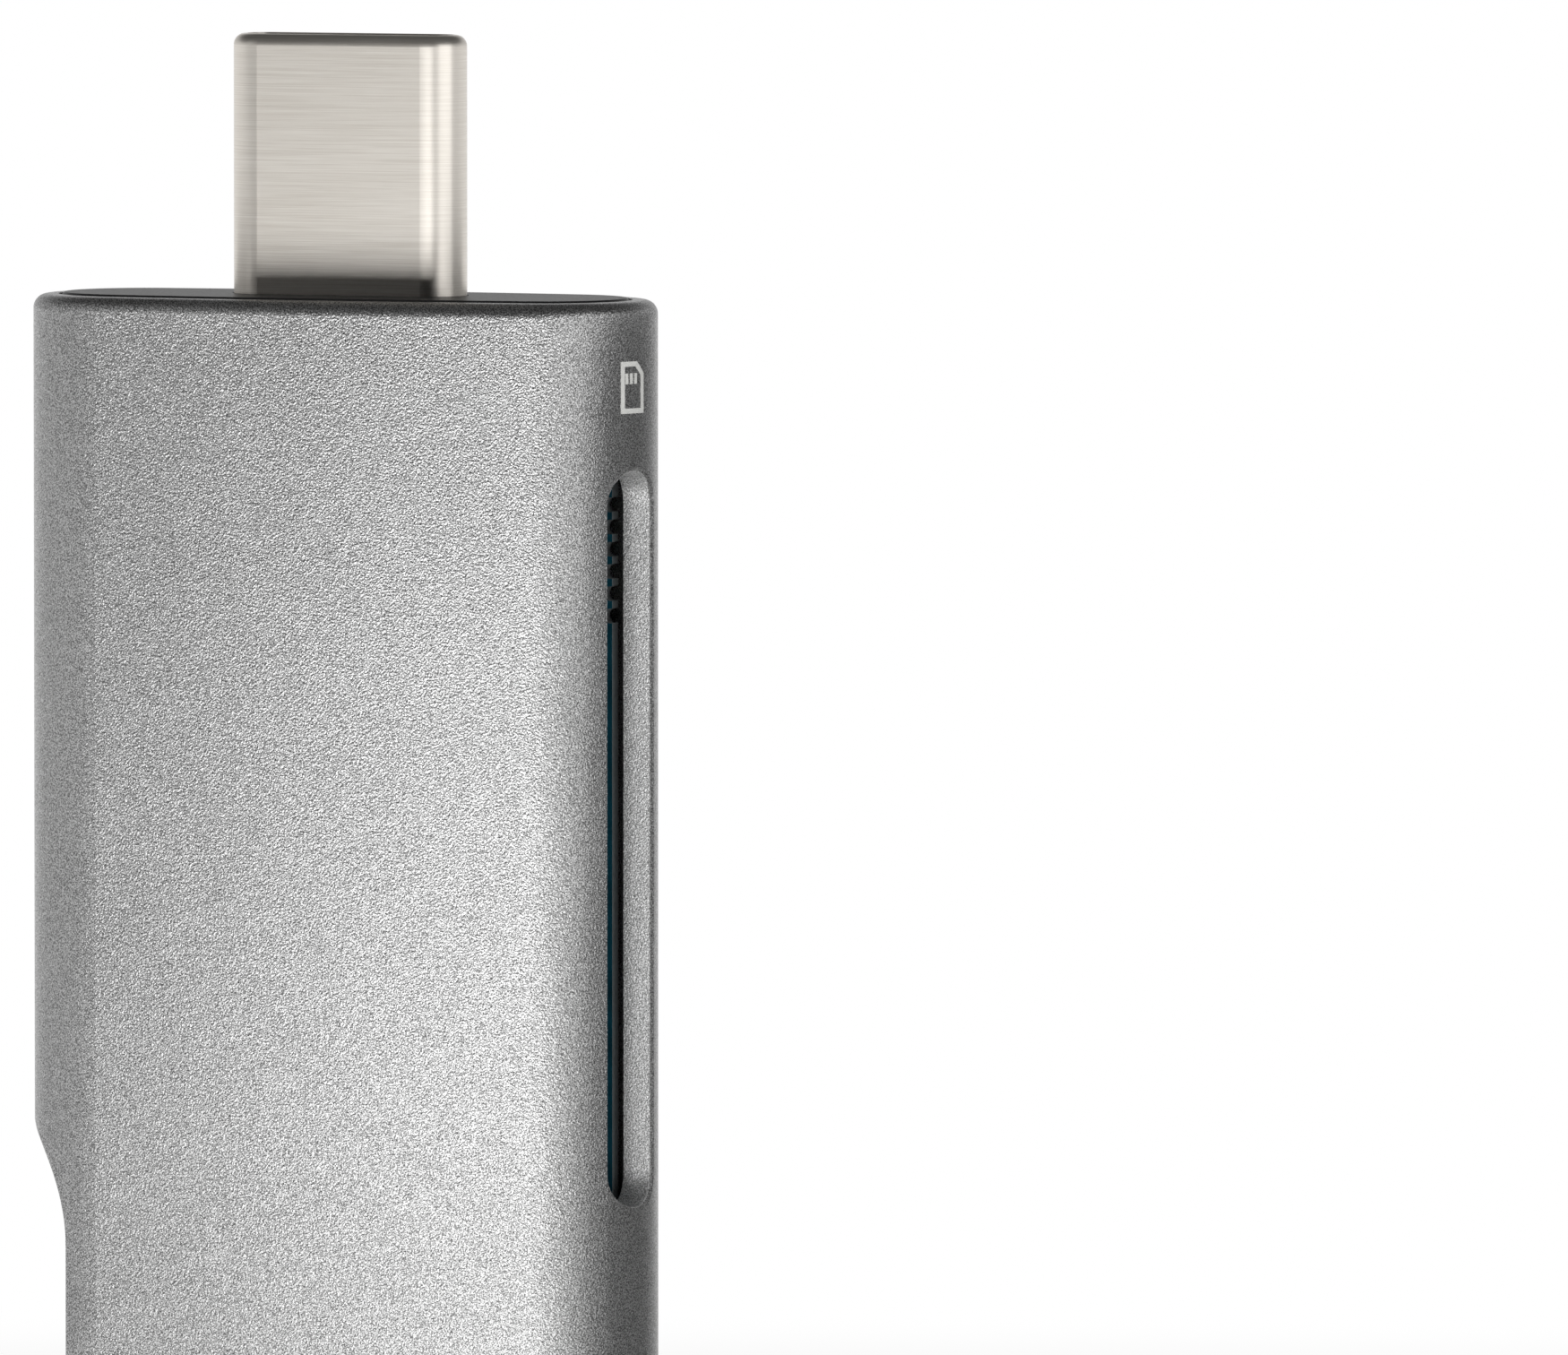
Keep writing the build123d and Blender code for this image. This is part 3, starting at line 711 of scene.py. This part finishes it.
@dataclass
class Board:
    """Circuit board with its chips and small parts."""

    laminate: BoardLaminate = BoardLaminate("masked_laminate", "#0b4a5c", 0.3)
    epoxy: MouldedResin = MouldedResin("moulded_epoxy", "#1f1f20", 0.6, "#131314", 0.07)
    leads: LinedMetal = LinedMetal("tinned_leads", "#c4c5c2", 0.35, "#a7a8a5", 0.06, 0.6, 0.001)
    lid: LinedMetal = LinedMetal("pressed_lid", "#c0bfba", 0.3, "#a3a29d", 0.05, 2.0, 0.001)
    base: MouldedResin = MouldedResin("alumina_base", "#4a4743", 0.6, "#3a3733", 0.08)

    def build(self) -> None:
        """Dresses the board and what is soldered to it."""
        dress(self.laminate.make(), "circuit_board")
        dress(self.epoxy.make(), "controller_chip", "voltage_regulator")
        dress(self.leads.make(), "controller_leads", "regulator_leads")
        dress(self.lid.make(), "crystal_lid")
        dress(self.base.make(), "crystal_base")
        low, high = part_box("capacitors")
        capacitors = FiredCeramic("fired_capacitor", "#a5825f", 0.55, ends_low=low[0], ends_high=high[0])
        dress(capacitors.make(), "capacitors")
        low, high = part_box("resistors")
        resistors = FiredCeramic(
            "fired_resistor", "#242426", 0.5, "#161617", ends_low=low[2], ends_high=high[2], along=Axis.Z
        )
        dress(resistors.make(), "resistors")


@dataclass(frozen=True)
class Softbox:
    """Soft rectangular light. Lengths in mm, and its face's level with white at 1."""

    name: str
    at: tuple[float, float, float]
    toward: tuple[float, float, float]
    size: tuple[float, float]
    level: float
    glossy: bool = True

    def build(self) -> None:
        """Adds the light, with the power that gives its face the level all over."""
        data = bpy.data.lights.new(self.name, "AREA")
        data.shape = "RECTANGLE"
        data.size, data.size_y = (side * MM for side in self.size)
        data.energy = self.level * math.pi * data.size * data.size_y
        lamp = bpy.data.objects.new(self.name, data)
        lamp.location = Vector(self.at) * MM
        lamp.rotation_euler = (Vector(self.toward) - Vector(self.at)).to_track_quat("-Z", "Y").to_euler()
        lamp.visible_camera = False
        lamp.visible_glossy = self.glossy
        bpy.context.scene.collection.objects.link(lamp)
        log.info("%s: light", self.name)


@dataclass(frozen=True)
class Card:
    """Upright card that only reflections see, to hide from the metal what stands behind it.

    Its foot line runs from near to far on the floor. Lengths in mm, and its level with white at 1.
    """

    name: str
    near: tuple[float, float]
    far: tuple[float, float]
    low: float
    high: float
    level: float

    def build(self) -> None:
        """Stands the card and gives it a dull cloth that glows at the level."""
        foot = (self.near, self.far, self.far, self.near)
        edge = (self.low, self.low, self.high, self.high)
        points = np.column_stack([foot, edge]) * MM
        mesh = bpy.data.meshes.new(self.name)
        mesh.from_pydata(points.tolist(), [], [(0, 1, 2, 3)])
        cloth = bpy.data.materials.new(self.name)
        cloth.use_nodes = True
        face = cloth.node_tree.nodes["Principled BSDF"]
        face.inputs["Base Color"].default_value = linear("#000000")
        face.inputs["Specular IOR Level"].default_value = 0.0
        face.inputs["Emission Color"].default_value = linear("#ffffff")
        face.inputs["Emission Strength"].default_value = self.level
        mesh.materials.append(cloth)
        card = bpy.data.objects.new(self.name, mesh)
        card.visible_camera = False
        card.visible_diffuse = False
        card.visible_shadow = False
        bpy.context.scene.collection.objects.link(card)
        log.info("%s: card", self.name)


@dataclass
class Studio:
    """Pale floor, soft lights, white surroundings and the camera. Lengths in mm, levels with white at 1."""

    floor_radius: float = 290.0
    floor_rings: int = 24
    floor_sides: int = 96
    floor_colour: str = "#ececea"
    floor_roughness: float = 0.9
    fade_start: float = 120.0
    fade_end: float = 260.0
    yaw: float = 20.376
    elevation: float = 3.521
    distance: float = 900.0
    look_height: float = 41.0
    aim_right: float = 14.839
    aim_up: float = 2.082
    focal: float = 610.916
    sensor: float = 36.0
    clip_near: float = 10.0
    clip_far: float = 10000.0
    room_level: float = 0.52
    backdrop_start: float = 0.9
    backdrop_end: float = 0.995
    horizon_drop: float = 0.04
    ceiling_start: float = 0.05
    ceiling_end: float = 0.45
    ceiling_level: float = 0.13
    backdrop_lift: float = 0.25
    lamps: tuple[Softbox, ...] = (
        Softbox("key", (1.5, -112.0, 15.0), (1.5, -78.8, 109.4), (127.0, 78.4), 2.35),
        Softbox("strip", (17.0, -112.0, 15.0), (17.0, -78.8, 109.4), (22.0, 78.4), 9.0),
        Softbox("side", (126.9, -59.2, 75.0), (0.0, 0.0, 55.0), (120.0, 70.0), 1.19),
        Softbox("overhead", (0.0, 0.0, 300.0), (0.0, 0.0, 0.0), (300.0, 300.0), 2.2, glossy=False),
    )
    cards: tuple[Card, ...] = (
        Card("front_flag", (-139.214, -149.146), (98.997, -178.394), 25.0, 150.0, 0.0),
        Card("right_flag", (22.445, -8.732), (14.785, 11.892), 0.0, 56.0, 0.17),
        Card("left_flag", (-16.659, -12.588), (-23.623, 6.160), 0.0, 56.0, 0.57),
        Card("plug_card", (-4.0, -38.0), (-22.0, -30.0), 58.0, 82.0, 0.08),
        Card("corner_card", (-22.0, -30.0), (-38.0, -20.0), 58.0, 82.0, 0.45),
    )

    def axes(self) -> tuple[Vector, Vector, Vector]:
        """Directions of the view.

        Returns:
            From the object to the camera, to the camera's right, and up in the picture.
        """
        turn, rise = math.radians(self.yaw), math.radians(self.elevation)
        out = Vector((math.sin(turn) * math.cos(rise), -math.cos(turn) * math.cos(rise), math.sin(rise)))
        right = Vector((math.cos(turn), math.sin(turn), 0.0))
        return out, right, out.cross(right)

    def camera(self) -> None:
        """Sets the camera at the view's angle. It aims beside the reader, which stands left in the frame."""
        out, right, up = self.axes()
        target = Vector((0.0, 0.0, self.look_height))
        spot = target + out * self.distance
        aim = target + right * self.aim_right + up * self.aim_up
        data = bpy.data.cameras.new("camera")
        data.sensor_width = self.sensor
        data.lens = self.focal
        data.clip_start = self.clip_near * MM
        data.clip_end = self.clip_far * MM
        eye = bpy.data.objects.new("camera", data)
        eye.location = spot * MM
        eye.rotation_euler = (aim - spot).to_track_quat("-Z", "Y").to_euler()
        bpy.context.scene.collection.objects.link(eye)
        bpy.context.scene.camera = eye

    def floor(self) -> None:
        """Lays a round floor that turns white further out: rings of points at even steps of radius."""
        radius = np.linspace(0, self.floor_radius, self.floor_rings + 1)[1:]
        turn = np.linspace(0, 2 * math.pi, self.floor_sides, endpoint=False)
        rings = np.zeros((self.floor_rings, self.floor_sides, 3))
        rings[..., 0] = radius[:, None] * np.cos(turn)
        rings[..., 1] = radius[:, None] * np.sin(turn)
        points, faces = sweep(rings[::-1] * MM, closed=False)
        # The face over the outermost ring would lie on the others, so it is left out.
        faces.pop(-2)
        mesh = bpy.data.meshes.new("floor")
        mesh.from_pydata(points.tolist(), [], faces)
        ground = bpy.data.objects.new("floor", mesh)
        bpy.context.scene.collection.objects.link(ground)
        mesh.materials.append(self.floor_material())

    def floor_material(self) -> bpy.types.Material:
        """Matt pale paper near the reader that shows plain white further out.

        Returns:
            The material.
        """
        material = bpy.data.materials.new("paper_sweep")
        material.use_nodes = True
        tree = material.node_tree
        paper = tree.nodes["Principled BSDF"]
        paper.inputs["Base Color"].default_value = linear(self.floor_colour)
        paper.inputs["Roughness"].default_value = self.floor_roughness
        place = add_node(tree, "ShaderNodeTexCoord").outputs["Object"]
        away = add_node(tree, "ShaderNodeVectorMath", {0: place}, operation="LENGTH")
        fade = add_node(
            tree,
            "ShaderNodeMapRange",
            {0: away.outputs["Value"], 1: self.fade_start * MM, 2: self.fade_end * MM},
            interpolation_type="SMOOTHSTEP",
        )
        white = add_node(tree, "ShaderNodeEmission", {"Strength": 1.0})
        seen = self.seen(tree)
        share = add_node(tree, "ShaderNodeMath", {0: fade.outputs[0], 1: seen}, operation="MULTIPLY")
        mixed = add_node(
            tree,
            "ShaderNodeMixShader",
            {0: share.outputs[0], 1: paper.outputs[0], 2: white.outputs[0]},
        )
        tree.links.new(mixed.outputs[0], tree.nodes["Material Output"].inputs["Surface"])
        return material

    def seen(self, tree: bpy.types.NodeTree) -> bpy.types.NodeSocket:
        """Finds whether a ray shows the background: to the camera, in a reflection or through glass.

        Args:
            tree: node tree that asks

        Returns:
            A socket that is 1 for such a ray and 0 for others.
        """
        path = add_node(tree, "ShaderNodeLightPath").outputs
        direct = add_node(
            tree,
            "ShaderNodeMath",
            {0: path["Is Camera Ray"], 1: path["Is Glossy Ray"]},
            operation="MAXIMUM",
        )
        either = add_node(
            tree,
            "ShaderNodeMath",
            {0: direct.outputs[0], 1: path["Is Transmission Ray"]},
            operation="MAXIMUM",
        )
        return either.outputs[0]

    def world(self) -> None:
        """Surrounds the scene with a white backdrop and ground, grey sides and a dim ceiling.

        The level is white along the view and below the horizon, room_level at the sides and in front, and
        falls to ceiling_level of that overhead, later behind the reader than elsewhere.
        """
        world = bpy.data.worlds.new("surroundings")
        bpy.context.scene.world = world
        world.use_nodes = True
        tree = world.node_tree
        out = self.axes()[0]
        direction = add_node(tree, "ShaderNodeTexCoord").outputs["Generated"]
        behind = add_node(
            tree,
            "ShaderNodeVectorMath",
            {0: direction, 1: (-out.x, -out.y, 0.0)},
            operation="DOT_PRODUCT",
        )
        backdrop = add_node(
            tree,
            "ShaderNodeMapRange",
            {
                0: behind.outputs["Value"],
                1: self.backdrop_start,
                2: self.backdrop_end,
                3: self.room_level,
                4: 1.0,
            },
            interpolation_type="SMOOTHSTEP",
        )
        height = add_node(tree, "ShaderNodeSeparateXYZ", {0: direction})
        ground = add_node(
            tree, "ShaderNodeMapRange", {0: height.outputs["Z"], 1: 0.0, 2: -self.horizon_drop}
        )
        around = add_node(
            tree,
            "ShaderNodeMath",
            {0: backdrop.outputs[0], 1: ground.outputs[0]},
            operation="MAXIMUM",
        )
        lowered = add_node(
            tree,
            "ShaderNodeMath",
            {0: behind.outputs["Value"], 1: -self.backdrop_lift, 2: height.outputs["Z"]},
            operation="MULTIPLY_ADD",
        )
        ceiling = add_node(
            tree,
            "ShaderNodeMapRange",
            {
                0: lowered.outputs[0],
                1: self.ceiling_start,
                2: self.ceiling_end,
                3: 1.0,
                4: self.ceiling_level,
            },
            interpolation_type="SMOOTHSTEP",
        )
        level = add_node(
            tree, "ShaderNodeMath", {0: around.outputs[0], 1: ceiling.outputs[0]}, operation="MULTIPLY"
        )
        tree.links.new(level.outputs[0], tree.nodes["Background"].inputs["Strength"])
        tree.nodes["Background"].inputs["Color"].default_value = linear("#ffffff")

    def build(self) -> None:
        """Builds the studio."""
        self.camera()
        self.floor()
        self.world()
        for piece in self.lamps + self.cards:
            piece.build()
        bpy.context.scene.view_settings.view_transform = "Standard"


def main() -> None:
    """Builds the reader's looks and the studio."""
    logging.basicConfig(level=logging.INFO, format="%(name)s %(message)s")
    for assembly in (Shell(), Plug(), CardSockets(), Board(), Studio()):
        assembly.build()


if __name__ == "__main__":
    main()
